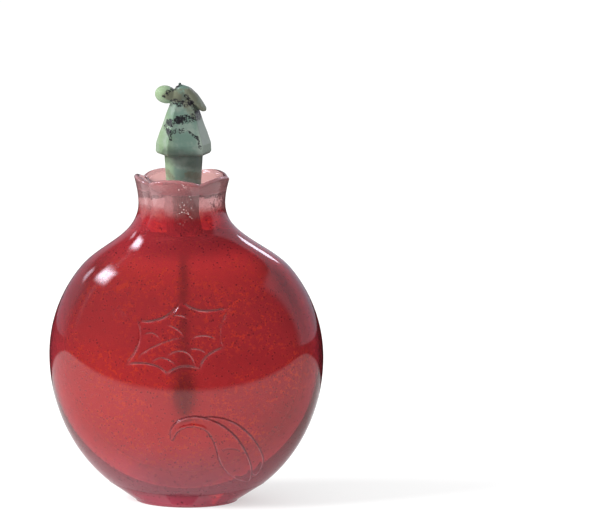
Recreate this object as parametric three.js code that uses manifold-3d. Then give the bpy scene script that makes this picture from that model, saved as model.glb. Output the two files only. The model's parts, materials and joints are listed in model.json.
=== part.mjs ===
// A glass snuff bottle in the form of a pomegranate, with a turquoise stopper, a cork and a spoon.
// Millimetres, +Z up. The origin is the middle of the foot's underside, and the front faces -Y.

import * as THREE from 'three';
import { mergeVertices } from 'three/addons/utils/BufferGeometryUtils.js';
import Module from 'manifold-3d';

// Body: a flattened ovoid, drawn as two half ellipses that meet at its widest level
const BODY_HALF_WIDTH = 23.9;
const BODY_HALF_DEPTH = 14.0;
const BODY_MIDDLE_Z = 25.5;
const BODY_DROP = 27.05;
const BODY_RISE = 24.05;
const BODY_BOTTOM_Z = 0.7;

// Shoulder and neck: a smooth curve from the ovoid into a round neck, which leans a little to one side
const SHOULDER_Z = 41.1;
const SHOULDER_PULL = 5.4;
const NECK_PULL = 5.9;
const NECK_Z = 52.4;
const NECK_RADIUS = 7.55;
const NECK_LEAN = -0.6;

// Lip: five petals, like the calyx of a pomegranate
const PETALS = 5;
const PETAL_TURN = -42 * Math.PI / 180;
const PETAL_START_Z = 47.1;
const PETAL_FLUTE = 0.35;
const LIP_Z = 56.5;
const LIP_FLARE = 0.7;
const PETAL_RISE = 0.9;
const LIP_THICKNESS = 0.9;

// Inside: a funnel with a flat seat for the stopper, a narrow bore, and the hollow for the snuff
const SEAT_Z = 54.5;
const SEAT_RADIUS = 3.8;
const BORE_RADIUS = 2.3;
const BORE_X = -0.3;
const BORE_END_Z = 46.3;
const HOLLOW_HALF_WIDTH = 20.6;
const HOLLOW_HALF_DEPTH = 11.0;
const HOLLOW_SHIFT = -0.3;
const HOLLOW_FLOOR_Z = 4.6;
const HOLLOW_MIDDLE_Z = 25.5;
const HOLLOW_TOP_Z = 47.1;

// Foot: a low oval plinth with a shallow recess under it
const FOOT_HALF_WIDTH = 9.0;
const FOOT_HALF_DEPTH = 7.3;
const FOOT_TOP_HALF_WIDTH = 13.8;
const FOOT_TOP_HALF_DEPTH = 6.5;
const FOOT_HEIGHT = 3.3;
const RECESS_HALF_WIDTH = 7.2;
const RECESS_HALF_DEPTH = 5.7;
const RECESS_DEPTH = 0.5;

// Carving on the front: [x, z] places. The burst skin is a star whose arcs sag towards its middle.
const STAR_MIDDLE = [0.0, 30.7];
const STAR_TIPS = [[0.5, 37.3], [9.1, 36.1], [8.0, 29.3], [4.0, 25.5], [-1.8, 24.6], [-8.9, 26.1], [-7.0, 33.6]];
const STAR_SAG = 0.17;
const STAR_LINE = 0.6;
const SEED_LINE = 0.35;
const LINE_END = 0.5;
const CARVE_DEPTH = 0.3;

// Seeds: each line is an arc through its two ends and the point between them
const SEED_ARCS = [
  [[-6.0, 31.2], [-4.3, 31.7], [-2.8, 30.4]],
  [[-6.9, 27.3], [-3.8, 29.5], [1.0, 31.2]],
  [[-1.9, 33.2], [0.0, 32.4], [1.0, 31.2]],
  [[2.6, 31.0], [4.8, 31.4], [6.7, 30.6]],
  [[2.1, 29.1], [3.6, 29.1], [4.9, 28.4]],
  [[-2.0, 27.7], [1.2, 28.7], [3.2, 26.0]],
  [[-4.4, 26.6], [-2.5, 27.5], [-0.3, 26.4]],
  [[-1.3, 34.5], [0.2, 34.8], [1.8, 34.2]],
];

// Leaves: a front leaf that curls over at its tip, and the edge of a second one behind it
const LEAF_RISE = 0.35;
const BACK_LEAF_RISE = 0.2;
const VEIN_LINE = 0.3;
const FRONT_LEAF = [
  [-1.1, 13.0], [-1.2, 15.0], [0.4, 16.8], [3.4, 17.4], [6.7, 16.3], [9.5, 13.9], [11.2, 10.8], [12.0, 7.6],
  [11.4, 5.0], [9.1, 5.8], [7.1, 8.5], [6.2, 12.3], [5.0, 14.7], [3.1, 15.6], [0.9, 15.3], [-0.3, 14.3],
];
const BACK_LEAF = [
  [4.7, 17.1], [7.7, 17.0], [10.6, 15.4], [12.8, 12.7], [14.0, 9.6], [13.7, 7.4], [12.5, 5.9],
  [11.5, 7.6], [10.2, 11.5], [8.2, 14.6],
];
const LEAF_CUT = [[7.4, 11.2], [8.8, 11.5], [10.2, 11.1]];

// Stopper: a round shank, a six-sided bell and, on top, a bud with a leaf that hangs over.
// The bell's corners are in degrees from +X, and its widest facet faces front.
const SHANK_TOP_Z = 61.3;
const SHANK_TOP_RADIUS = 3.35;
const SHANK_FOOT_RADIUS = 2.95;
const BELL_CORNERS = [-119, -41, 17, 75, 123, 177];
const BELL_LEVELS = [
  [60.9, 4.6], [61.3, 4.9], [62.7, 4.85], [64.5, 4.25], [66.2, 3.6], [68.1, 2.95], [69.7, 2.3], [70.4, 1.5],
];
const BUD = { x: -3.0, y: -0.3, z: 71.2, length: 1.9, width: 1.55, tilt: 12 * Math.PI / 180 };
const BUD_NECK = { x: -0.9, y: -0.1, z: 70.8, length: 2.0, width: 1.5, tilt: -14 * Math.PI / 180 };
const LEAF_LEVELS = [
  [-1.5, 72.1, 0.5, 0.45], [-0.4, 72.4, 1.0, 0.6], [0.8, 72.0, 1.35, 0.65], [2.0, 71.0, 1.5, 0.65],
  [3.1, 69.7, 1.25, 0.6], [4.0, 68.5, 0.5, 0.4],
];
const STALK_TIP = { x: -0.6, z: 72.7, radius: 0.35, height: 1.1 };

// Cork and spoon: the cork fills the bore under the stopper, and the spoon's stem is pushed up into it
const CORK_TOP_RADIUS = 2.05;
const CORK_FOOT_RADIUS = 1.85;
const CORK_FOOT_Z = 47.3;
const STEM_RADIUS = 0.7;
const STEM_HOLE_RADIUS = 0.95;
const STEM_TOP_Z = 50.3;
const SPOON_TIP_Z = 14.6;
const SPOON_LENGTH = 8.6;
const SPOON_HALF_WIDTH = 1.95;
const SPOON_HALF_DEPTH = 0.75;
const SPOON_SCOOP = 0.5;

// Facets
const COLUMNS = 60;
const BODY_ROWS = 17;
const SHOULDER_ROWS = 8;
const HOLLOW_ROWS = 13;

// Library for joining and cutting
const wasm = await Module();
wasm.setup();

// A closed geometry becomes a solid
function solidFrom(geometry) {
  geometry.deleteAttribute('normal');
  geometry.deleteAttribute('uv');
  const merged = mergeVertices(geometry, 1e-4);
  return new wasm.Manifold(new wasm.Mesh({
    numProp: 3,
    vertProperties: new Float32Array(merged.attributes.position.array),
    triVerts: new Uint32Array(merged.index.array),
  }));
}

// A solid becomes a geometry again
function geometryFrom(solid) {
  const mesh = solid.getMesh();
  const geometry = new THREE.BufferGeometry();
  geometry.setAttribute('position', new THREE.BufferAttribute(mesh.vertProperties, mesh.numProp));
  geometry.setIndex(new THREE.BufferAttribute(mesh.triVerts, 1));
  geometry.computeVertexNormals();
  return geometry;
}

// Rings of points, each with as many columns, are joined into one skin that is closed by a point at each end
function skin(rings, firstPoint, lastPoint) {
  const columns = rings[0].length;
  const positions = [...firstPoint];
  for (const ring of rings) {
    for (const point of ring) positions.push(...point);
  }
  positions.push(...lastPoint);
  const last = positions.length / 3 - 1;
  const at = (row, column) => 1 + row * columns + (column % columns);
  const indices = [];
  for (let column = 0; column < columns; column++) {
    indices.push(0, at(0, column + 1), at(0, column));
    for (let row = 0; row + 1 < rings.length; row++) {
      indices.push(at(row, column), at(row, column + 1), at(row + 1, column + 1));
      indices.push(at(row, column), at(row + 1, column + 1), at(row + 1, column));
    }
    indices.push(last, at(rings.length - 1, column), at(rings.length - 1, column + 1));
  }
  const geometry = new THREE.BufferGeometry();
  geometry.setAttribute('position', new THREE.Float32BufferAttribute(positions, 3));
  geometry.setIndex(indices);
  return geometry;
}

// One oval ring at a level
function oval(halfWidth, halfDepth, z, shift = 0) {
  return Array.from({ length: COLUMNS }, (_, column) => {
    const angle = 2 * Math.PI * column / COLUMNS;
    return [shift + halfWidth * Math.cos(angle), halfDepth * Math.sin(angle), z];
  });
}

// How far the neck leans to its side at a level
function lean(z) {
  return NECK_LEAN * THREE.MathUtils.smoothstep(z, SHOULDER_Z, 50);
}

// Sizes of the body at a level below the shoulder, taken in by an inset
function bodyAt(z, inset = 0) {
  const reach = (z < BODY_MIDDLE_Z ? BODY_DROP : BODY_RISE) - inset;
  const share = Math.sqrt(1 - ((z - BODY_MIDDLE_Z) / reach) ** 2);
  return { z, halfWidth: (BODY_HALF_WIDTH - inset) * share, halfDepth: (BODY_HALF_DEPTH - inset) * share };
}

// Profile of the body from its bottom to the shoulder, in even steps of angle
function bodyProfile(inset = 0) {
  const low = -Math.asin((BODY_MIDDLE_Z - BODY_BOTTOM_Z) / BODY_DROP);
  const high = Math.asin((SHOULDER_Z - BODY_MIDDLE_Z) / BODY_RISE);
  const levels = [];
  for (let row = 0; row <= BODY_ROWS; row++) {
    const angle = low + (high - low) * row / BODY_ROWS;
    const z = BODY_MIDDLE_Z + Math.sin(angle) * (angle < 0 ? BODY_DROP : BODY_RISE);
    levels.push(bodyAt(z, inset));
  }
  return levels;
}

// Profile of the shoulder: a Bezier curve that leaves the body along its slope and ends straight up
function shoulderProfile() {
  const start = bodyAt(SHOULDER_Z);
  const below = bodyAt(SHOULDER_Z - 0.01);
  const slope = new THREE.Vector2(start.halfWidth - below.halfWidth, 0.01).normalize();
  const depthSlope = new THREE.Vector2(start.halfDepth - below.halfDepth, 0.01).normalize();
  const curve = (from, direction) => new THREE.CubicBezierCurve(
    new THREE.Vector2(from, SHOULDER_Z),
    new THREE.Vector2(from + direction.x * SHOULDER_PULL, SHOULDER_Z + direction.y * SHOULDER_PULL),
    new THREE.Vector2(NECK_RADIUS, NECK_Z - NECK_PULL),
    new THREE.Vector2(NECK_RADIUS, NECK_Z),
  );
  const widths = curve(start.halfWidth, slope);
  const depths = curve(start.halfDepth, depthSlope);
  return Array.from({ length: SHOULDER_ROWS }, (_, row) => {
    const t = (row + 1) / SHOULDER_ROWS;
    const width = widths.getPoint(t);
    return { z: width.y, halfWidth: width.x, halfDepth: depths.getPoint(t).x };
  });
}

// How full a petal is at an angle: 1 in its middle and 0 in the groove between two
function petalAt(angle) {
  const turns = (angle + Math.PI / 2 - PETAL_TURN) / (2 * Math.PI) * PETALS;
  const across = 2 * (turns - Math.floor(turns)) - 1;
  return 1 - across * across;
}

// One ring of the neck, fluted between the petals
function neckRing(halfWidth, halfDepth, z, rise = 0) {
  const strength = THREE.MathUtils.smoothstep(z, PETAL_START_Z, NECK_Z);
  return Array.from({ length: COLUMNS }, (_, column) => {
    const angle = 2 * Math.PI * column / COLUMNS;
    const petal = petalAt(angle);
    const flute = PETAL_FLUTE * strength * (petal - 1);
    const x = lean(z) + (halfWidth + flute) * Math.cos(angle);
    const y = (halfDepth + flute) * Math.sin(angle);
    return [x, y, z + rise * petal];
  });
}

// Body, neck, lip and hollow, as one skin that runs up the outside and down the inside
function buildVessel() {
  const rings = bodyProfile().map((level) => oval(level.halfWidth, level.halfDepth, level.z));
  for (const level of shoulderProfile()) rings.push(neckRing(level.halfWidth, level.halfDepth, level.z));
  const middleZ = (NECK_Z + LIP_Z) / 2;
  const lip = NECK_RADIUS + LIP_FLARE;
  rings.push(neckRing(NECK_RADIUS + 0.2 * LIP_FLARE, NECK_RADIUS + 0.2 * LIP_FLARE, middleZ, 0.3 * PETAL_RISE));
  rings.push(neckRing(lip, lip, LIP_Z - 0.3, PETAL_RISE));
  rings.push(neckRing(lip - LIP_THICKNESS / 2, lip - LIP_THICKNESS / 2, LIP_Z, PETAL_RISE));
  rings.push(neckRing(lip - LIP_THICKNESS, lip - LIP_THICKNESS, LIP_Z - 0.3, PETAL_RISE));
  rings.push(oval(SEAT_RADIUS, SEAT_RADIUS, SEAT_Z, BORE_X));
  rings.push(oval(BORE_RADIUS, BORE_RADIUS, SEAT_Z, BORE_X));
  rings.push(oval(BORE_RADIUS, BORE_RADIUS, BORE_END_Z, BORE_X));
  const upper = HOLLOW_TOP_Z - HOLLOW_MIDDLE_Z;
  const lower = HOLLOW_MIDDLE_Z - HOLLOW_FLOOR_Z;
  const mouth = Math.acos(BORE_RADIUS / HOLLOW_HALF_WIDTH);
  for (let row = 1; row < HOLLOW_ROWS; row++) {
    const angle = mouth - (mouth + Math.PI / 2) * row / HOLLOW_ROWS;
    const z = HOLLOW_MIDDLE_Z + Math.sin(angle) * (angle > 0 ? upper : lower);
    const halfWidth = HOLLOW_HALF_WIDTH * Math.cos(angle);
    const halfDepth = Math.max(HOLLOW_HALF_DEPTH * Math.cos(angle), row < 3 ? BORE_RADIUS : 0);
    rings.push(oval(halfWidth, halfDepth, z, HOLLOW_SHIFT));
  }
  return solidFrom(skin(rings, [0, 0, BODY_BOTTOM_Z], [HOLLOW_SHIFT, 0, HOLLOW_FLOOR_Z]));
}

// Foot with its recess
function buildFoot() {
  const rings = [
    oval(RECESS_HALF_WIDTH, RECESS_HALF_DEPTH, RECESS_DEPTH),
    oval(RECESS_HALF_WIDTH, RECESS_HALF_DEPTH, 0),
    oval(FOOT_HALF_WIDTH, FOOT_HALF_DEPTH, 0),
    oval(FOOT_TOP_HALF_WIDTH, FOOT_TOP_HALF_DEPTH, FOOT_HEIGHT),
  ];
  return solidFrom(skin(rings, [0, 0, RECESS_DEPTH], [0, 0, FOOT_HEIGHT]));
}

// The body without its outermost layer, which sets how deep a line is cut
function buildCore(inset) {
  const levels = bodyProfile(inset);
  const rings = levels.map((level) => oval(level.halfWidth, level.halfDepth, level.z));
  return solidFrom(skin(rings, [0, 0, levels[0].z], [0, 0, levels[levels.length - 1].z]));
}

// An outline in X and Z becomes a bar that runs from in front of the body to its middle
function frontBar(outline) {
  const shape = new THREE.Shape(outline.map((point) => new THREE.Vector2(point[0], point[1])));
  const geometry = new THREE.ExtrudeGeometry(shape, { depth: BODY_HALF_DEPTH + 2, bevelEnabled: false });
  geometry.rotateX(Math.PI / 2);
  return solidFrom(geometry);
}

// The outline of a line along a curve, widest in its middle and blunt at both ends
function stroke(curve, width, steps) {
  const near = [];
  const far = [];
  for (let step = 0; step <= steps; step++) {
    const t = step / steps;
    const point = curve.getPoint(t);
    const tangent = curve.getTangent(t);
    const half = width / 2 * (LINE_END + (1 - LINE_END) * Math.sin(Math.PI * t));
    near.push([point.x - tangent.y * half, point.y + tangent.x * half]);
    far.unshift([point.x + tangent.y * half, point.y - tangent.x * half]);
  }
  return [...near, ...far];
}

// An arc from one end to the other through a point between them
function arcThrough([start, middle, end]) {
  const control = [0, 1].map((axis) => 2 * middle[axis] - (start[axis] + end[axis]) / 2);
  return new THREE.QuadraticBezierCurve(
    new THREE.Vector2(...start), new THREE.Vector2(...control), new THREE.Vector2(...end),
  );
}

// The arcs of the burst skin, from tip to tip
function starArcs() {
  return STAR_TIPS.map((tip, index) => {
    const next = STAR_TIPS[(index + 1) % STAR_TIPS.length];
    const middle = [(tip[0] + next[0]) / 2, (tip[1] + next[1]) / 2];
    const inward = new THREE.Vector2(STAR_MIDDLE[0] - middle[0], STAR_MIDDLE[1] - middle[1]).normalize();
    const sag = STAR_SAG * Math.hypot(next[0] - tip[0], next[1] - tip[1]);
    return arcThrough([tip, [middle[0] + inward.x * sag, middle[1] + inward.y * sag], next]);
  });
}

// A rounded closed outline through a few points
function leafOutline(points) {
  const curve = new THREE.CatmullRomCurve3(points.map(([x, z]) => new THREE.Vector3(x, z, 0)), true);
  return curve.getPoints(points.length * 2).slice(0, -1).map((point) => [point.x, point.y]);
}

// The lines cut into the front
function buildCuts() {
  const lines = [
    ...starArcs().map((arc) => stroke(arc, STAR_LINE, 5)),
    ...SEED_ARCS.map((arc) => stroke(arcThrough(arc), SEED_LINE, 4)),
    stroke(arcThrough(LEAF_CUT), VEIN_LINE, 3),
  ];
  return wasm.Manifold.union(lines.map(frontBar)).subtract(buildCore(CARVE_DEPTH));
}

function buildBottle() {
  const leaves = frontBar(leafOutline(FRONT_LEAF)).intersect(buildCore(-LEAF_RISE))
    .add(frontBar(leafOutline(BACK_LEAF)).intersect(buildCore(-BACK_LEAF_RISE)));
  const hollow = buildCore(2);
  const relief = leaves.subtract(hollow);
  return buildVessel().add(buildFoot()).add(relief).subtract(buildCuts());
}

// A lump drawn out along X, tilted up or down
function lump({ x, y, z, length, width, tilt }) {
  const geometry = new THREE.SphereGeometry(1, 12, 8);
  geometry.scale(length, width, width);
  geometry.rotateY(tilt);
  geometry.translate(x, y, z);
  return solidFrom(geometry);
}

// The hanging leaf of the stopper: a lens-shaped section at each level of its spine
function buildHangingLeaf() {
  const rings = LEAF_LEVELS.map(([x, z, halfWidth, halfThickness], index) => {
    const before = LEAF_LEVELS[Math.max(index - 1, 0)];
    const after = LEAF_LEVELS[Math.min(index + 1, LEAF_LEVELS.length - 1)];
    const along = new THREE.Vector2(after[0] - before[0], after[1] - before[1]).normalize();
    return Array.from({ length: 8 }, (_, column) => {
      const angle = 2 * Math.PI * column / 8;
      const out = halfThickness * Math.sin(angle);
      return [x - along.y * out, halfWidth * Math.cos(angle), z + along.x * out];
    });
  });
  const first = LEAF_LEVELS[0];
  const last = LEAF_LEVELS[LEAF_LEVELS.length - 1];
  return solidFrom(skin(rings, [first[0] - 0.3, 0, first[1]], [last[0] + 0.2, 0, last[1] - 0.3]));
}

function buildStopper() {
  const shank = new THREE.CylinderGeometry(SHANK_TOP_RADIUS, SHANK_FOOT_RADIUS, SHANK_TOP_Z - SEAT_Z, 32);
  shank.rotateX(Math.PI / 2);
  shank.translate(0, 0, (SHANK_TOP_Z + SEAT_Z) / 2);
  const bell = skin(
    BELL_LEVELS.map(([z, radius]) => BELL_CORNERS.map((degrees) => {
      const angle = THREE.MathUtils.degToRad(degrees);
      return [radius * Math.cos(angle), radius * Math.sin(angle), z];
    })),
    [0, 0, BELL_LEVELS[0][0]],
    [0, 0, BELL_LEVELS[BELL_LEVELS.length - 1][0]],
  );
  const tip = new THREE.CylinderGeometry(STALK_TIP.radius * 0.6, STALK_TIP.radius, STALK_TIP.height, 8);
  tip.rotateX(Math.PI / 2);
  tip.translate(STALK_TIP.x, 0, STALK_TIP.z);
  return [lump(BUD), lump(BUD_NECK), buildHangingLeaf(), solidFrom(tip), solidFrom(bell)]
    .reduce((whole, piece) => whole.add(piece), solidFrom(shank));
}

function buildCork() {
  const height = SEAT_Z - CORK_FOOT_Z;
  const cork = new THREE.CylinderGeometry(CORK_TOP_RADIUS, CORK_FOOT_RADIUS, height, 24);
  cork.rotateX(Math.PI / 2);
  cork.translate(0, 0, SEAT_Z - height / 2);
  const depth = STEM_TOP_Z - CORK_FOOT_Z;
  const hole = new THREE.CylinderGeometry(STEM_HOLE_RADIUS, STEM_HOLE_RADIUS, 2 * depth, 16);
  hole.rotateX(Math.PI / 2);
  hole.translate(0, 0, CORK_FOOT_Z);
  return solidFrom(cork).subtract(solidFrom(hole));
}

// Stem and bowl of the spoon; the scoop is cut out of the bowl's front
function buildSpoon() {
  const middleZ = SPOON_TIP_Z + SPOON_LENGTH / 2;
  const oval = (halfWidth, halfDepth, halfLength, y) => {
    const geometry = new THREE.SphereGeometry(1, 16, 12);
    geometry.scale(halfWidth, halfDepth, halfLength);
    geometry.translate(0, y, middleZ);
    return solidFrom(geometry);
  };
  const bowl = oval(SPOON_HALF_WIDTH, SPOON_HALF_DEPTH, SPOON_LENGTH / 2, 0);
  const scoop = oval(
    SPOON_HALF_WIDTH - 0.35, SPOON_HALF_DEPTH, SPOON_LENGTH / 2 - 0.6, -SPOON_SCOOP,
  );
  const stemFootZ = SPOON_TIP_Z + SPOON_LENGTH - 0.8;
  const stem = new THREE.CylinderGeometry(STEM_RADIUS, STEM_RADIUS * 0.9, STEM_TOP_Z - stemFootZ, 16);
  stem.rotateX(Math.PI / 2);
  stem.translate(0, 0, (STEM_TOP_Z + stemFootZ) / 2);
  return bowl.subtract(scoop).add(solidFrom(stem));
}

// Finishes
const glass = new THREE.MeshStandardMaterial({
  color: 0xa81f2b, roughness: 0.08, metalness: 0, transparent: true, opacity: 0.55,
});
const turquoise = new THREE.MeshStandardMaterial({ color: 0x7fa88c, roughness: 0.4, metalness: 0 });
const corkFinish = new THREE.MeshStandardMaterial({ color: 0x8f7a63, roughness: 0.9, metalness: 0 });
const bone = new THREE.MeshStandardMaterial({ color: 0xcbb894, roughness: 0.5, metalness: 0 });

function named(name, solid, finish, x = 0) {
  const mesh = new THREE.Mesh(geometryFrom(solid), finish);
  mesh.name = name;
  mesh.position.x = x;
  return mesh;
}

const group = new THREE.Group();
group.add(
  named('bottle', buildBottle(), glass),
  named('stopper', buildStopper(), turquoise, BORE_X),
  named('cork', buildCork(), corkFinish, BORE_X),
  named('spoon', buildSpoon(), bone, BORE_X),
);

export default group;
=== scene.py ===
import json
import math
from contextlib import contextmanager

import bpy
import numpy as np
from mathutils import Matrix, Vector

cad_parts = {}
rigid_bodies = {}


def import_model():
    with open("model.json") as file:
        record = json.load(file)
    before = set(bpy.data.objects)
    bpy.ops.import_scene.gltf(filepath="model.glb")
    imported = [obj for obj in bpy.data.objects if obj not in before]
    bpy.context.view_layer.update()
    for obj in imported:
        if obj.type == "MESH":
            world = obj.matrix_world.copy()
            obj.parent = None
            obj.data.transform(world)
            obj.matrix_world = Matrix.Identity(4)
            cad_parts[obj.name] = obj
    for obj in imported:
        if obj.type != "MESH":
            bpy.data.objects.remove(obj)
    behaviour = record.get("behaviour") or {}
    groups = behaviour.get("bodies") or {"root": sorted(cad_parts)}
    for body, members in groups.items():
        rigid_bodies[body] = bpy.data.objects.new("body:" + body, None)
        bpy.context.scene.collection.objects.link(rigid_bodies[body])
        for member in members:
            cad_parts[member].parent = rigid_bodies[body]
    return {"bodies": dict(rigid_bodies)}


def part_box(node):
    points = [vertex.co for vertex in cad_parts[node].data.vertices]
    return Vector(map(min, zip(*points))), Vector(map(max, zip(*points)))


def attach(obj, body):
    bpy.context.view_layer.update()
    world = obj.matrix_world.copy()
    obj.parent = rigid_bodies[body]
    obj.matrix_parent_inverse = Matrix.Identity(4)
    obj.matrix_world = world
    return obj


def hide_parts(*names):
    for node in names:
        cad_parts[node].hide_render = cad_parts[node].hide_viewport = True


bl_info = {
    "name": "Pomegranate Snuff Bottle",
    "version": (1, 0, 0),
    "blender": (4, 5, 0),
    "location": "3D View > Sidebar > Snuff Bottle",
    "description": "Makes a ruby glass snuff bottle with a turquoise stopper, a cork and a spoon",
    "category": "Object",
}

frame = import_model()
BODY = next(iter(frame["bodies"]))
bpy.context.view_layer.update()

# Shapes are worked out in millimetres and made metres at the end
MM = 0.001
CORK_LOW, CORK_HIGH = (np.array(corner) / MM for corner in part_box("cork"))
SPOON_LOW, SPOON_HIGH = (np.array(corner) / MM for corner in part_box("spoon"))

# Body: two half ellipses that meet at the widest level
HALF_WIDTH = 23.9
HALF_DEPTH = 14.0
MIDDLE_Z = 25.5
DROP = 27.05
RISE = 24.05

# Shoulder and neck
SHOULDER_Z = 41.1
SHOULDER_PULL = 5.4
NECK_PULL = 5.9
NECK_Z = 52.4
NECK_RADIUS = 7.55
NECK_LEAN = -0.6
LEAN_END_Z = 50.0
SLOPE_STEP = 0.01

# Lip
PETALS = 5
PETAL_TURN = math.radians(-42)
GROOVE_START_Z = 46.5
GROOVE_DEPTH = 0.42
GROOVE_POWER = 3
LIP_Z = 56.5
LIP_FLARE = 0.7
LIP_THICKNESS = 0.9
PETAL_RISE = 0.9

# Inside
BORE_X = (CORK_LOW[0] + CORK_HIGH[0]) / 2
SEAT_Z = CORK_HIGH[2]
SEAT_RADIUS = 3.8
BORE_RADIUS = 2.3
BORE_END_Z = 46.3
HOLLOW_HALF_WIDTH = 20.6
HOLLOW_HALF_DEPTH = 11.0
HOLLOW_SHIFT = -0.3
HOLLOW_FLOOR_Z = 4.6
HOLLOW_TOP_Z = 47.1
FUNNEL_BOW = 0.9
MOUTH_BLEND = 8

# Foot: half width, half depth and level of each ring from the middle of the recess to the foot's edge
UNDERSIDE = [
    (0.0, 0.0, 0.5), (3.7, 2.8, 0.5), (6.8, 5.3, 0.5), (7.1, 5.6, 0.42), (7.22, 5.72, 0.15),
    (7.45, 5.95, 0.0), (8.6, 6.9, 0.0), (8.9, 7.2, 0.08), (9.0, 7.3, 0.3),
]
CREASE_FRONT_Z = 2.0
CREASE_SIDE_Z = 3.3
CREASE_LEDGE = 0.04

# Columns of faces round the vessel, how near its points merge, and how near the carving faces are split
COLUMNS = 240
WELD = 0.001
COARSE_REACH = 1.2
FINE_REACH = 0.65

# Carving on the front, as places across and up, with the share of a line that fades at its ends and flanks
FRONT_Y = -2.0
FRONT_SHELL = 0.97
FRONT_MARGIN = 0.5
LINE_ENDS = (-0.08, 0.25)
LINE_FLANKS = (0.1, 0.6)
STAR_MIDDLE = (0.0, 30.7)
STAR_TIPS = [(0.5, 37.3), (9.1, 36.1), (8.0, 29.3), (4.0, 25.5), (-1.8, 24.6), (-8.9, 26.1), (-7.0, 33.6)]
STAR_SAG = 0.17
STAR_LINE = 0.62
STAR_DEPTH = 0.22
SEED_ARCS = [
    ((-6.0, 31.2), (-4.3, 31.7), (-2.8, 30.4)),
    ((-6.9, 27.3), (-3.8, 29.5), (1.0, 31.2)),
    ((-1.9, 33.2), (0.0, 32.4), (1.0, 31.2)),
    ((2.6, 31.0), (4.8, 31.4), (6.7, 30.6)),
    ((2.1, 29.1), (3.6, 29.1), (4.9, 28.4)),
    ((-2.0, 27.7), (1.2, 28.7), (3.2, 26.0)),
    ((-4.4, 26.6), (-2.5, 27.5), (-0.3, 26.4)),
    ((-1.3, 34.5), (0.2, 34.8), (1.8, 34.2)),
]
SEED_LINE = 0.3
SEED_DEPTH = 0.12
FRONT_LEAF = [
    (-1.1, 13.0), (-1.2, 15.0), (0.4, 16.8), (3.4, 17.4), (6.7, 16.3), (9.5, 13.9), (11.2, 10.8),
    (12.0, 7.6), (11.4, 5.0), (9.1, 5.8), (7.1, 8.5), (6.2, 12.3), (5.0, 14.7), (3.1, 15.6),
    (0.9, 15.3), (-0.3, 14.3),
]
BACK_LEAF = [
    (4.7, 17.1), (7.7, 17.0), (10.6, 15.4), (12.8, 12.7), (14.0, 9.6), (13.7, 7.4), (12.5, 5.9),
    (11.5, 7.6), (10.2, 11.5), (8.2, 14.6),
]
LEAF_PALENESS = 0.7
LEAF_CUT = ((7.4, 11.2), (8.8, 11.5), (10.2, 11.1))
LEAF_RISE = 0.42
BACK_LEAF_RISE = 0.25
LEAF_EDGE = 0.16
LEAF_DISH = 0.12
CUT_LINE = 0.25
CUT_DEPTH = 0.08
LEAF_LINE = 0.12
SCRATCHES = [
    ((-11.6, 35.0), (-10.9, 34.0), (-10.5, 32.9)), ((-10.9, 35.9), (-9.6, 35.0), (-8.6, 34.0)),
    ((-10.1, 36.2), (-9.9, 34.9), (-9.2, 33.6)), ((-18.2, 33.0), (-17.4, 32.6), (-16.9, 32.8)),
]
SCRATCH_LINE = 0.16
SCRATCH_DEPTH = 0.03

# Stopper, with the directions of the bell's corners in degrees, and level and radius up the bell
SHANK_TOP_Z = 61.3
SHANK_TOP_RADIUS = 3.35
SHANK_FOOT_RADIUS = 2.95
BELL_CORNERS = (-119, -41, 17, 75, 123, 177)
BELL_LEVELS = [
    (60.9, 4.6), (61.3, 4.9), (62.7, 4.85), (64.5, 4.25),
    (66.2, 3.6), (68.1, 2.95), (69.7, 2.3), (70.4, 1.5),
]
BUD = {"place": (-3.0, -0.3, 71.2), "size": (1.9, 1.55, 1.55), "tilt": math.radians(12)}
BUD_NECK = {"place": (-0.9, -0.1, 70.8), "size": (2.0, 1.5, 1.5), "tilt": math.radians(-14)}
# Foot and top radius of the stalk, its two levels, and its place across
STALK_TIP = (0.35, 0.21, 72.2, 73.2, -0.6)
# Place across and up of the leaf's spine, with its half width and half thickness there
HANGING_LEAF = [
    (-1.5, 72.0, 0.5, 0.5), (-0.4, 72.2, 1.0, 0.75), (0.7, 71.7, 1.35, 0.9), (1.8, 70.6, 1.5, 0.95),
    (2.9, 69.3, 1.25, 0.8), (3.9, 68.4, 0.5, 0.4),
]
LEAF_BLUNTNESS = 2.2
# Painted shadow of the bell on the top of the shank: from one place to another across and up, with its
# width
BELL_SHADOW = ((-2.6, 60.9), (3.2, 59.9), 3.0)
STONE_GRAIN = 0.1
# Marks in the stone, each from one place to another across and up, with its width
# Black veins; the last two marks are a painted shade line where the hanging leaf lies on the bell
VEIN_AND_SHADE_MARKS = [
    ((-2.4, 66.5), (-0.4, 67.2), 1.1), ((-0.4, 67.1), (2.2, 67.5), 1.6), ((-2.4, 66.9), (-3.5, 65.7), 0.8),
    ((-2.9, 65.1), (0.1, 65.3), 0.7), ((-2.7, 65.4), (-2.1, 64.0), 0.8), ((0.8, 65.2), (2.5, 64.0), 0.5),
    ((2.4, 64.2), (2.9, 62.4), 0.5), ((-1.4, 72.6), (-3.4, 71.2), 0.9), ((-1.9, 70.2), (0.1, 69.7), 1.2),
    ((-1.0, 72.7), (-0.5, 73.4), 0.9), ((0.3, 71.3), (1.2, 69.9), 0.9), ((1.2, 69.9), (2.2, 68.5), 0.9),
]
# Painted light: the bud and the left of the shank are made lighter where the light falls on them
PAINTED_LIGHT_MARKS = [((-3.9, 71.2), (-3.0, 71.6), 3.6), ((-3.0, 60.0), (-3.0, 56.0), 2.6)]
# Brown host rock; the second mark is painted shade between bud and leaf, and the last two are painted shade
# on the shank just above the lip
HOST_ROCK_AND_SHADE_MARKS = [
    ((-3.3, 71.3), (-1.2, 70.8), 1.5), ((-1.6, 71.2), (0.6, 70.9), 2.8), ((0.9, 69.4), (2.5, 67.8), 2.2),
    ((0.9, 71.6), (3.8, 68.8), 1.5), ((0.8, 57.6), (2.8, 57.2), 1.4), ((-2.8, 57.9), (-2.0, 56.9), 1.2),
]

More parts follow.
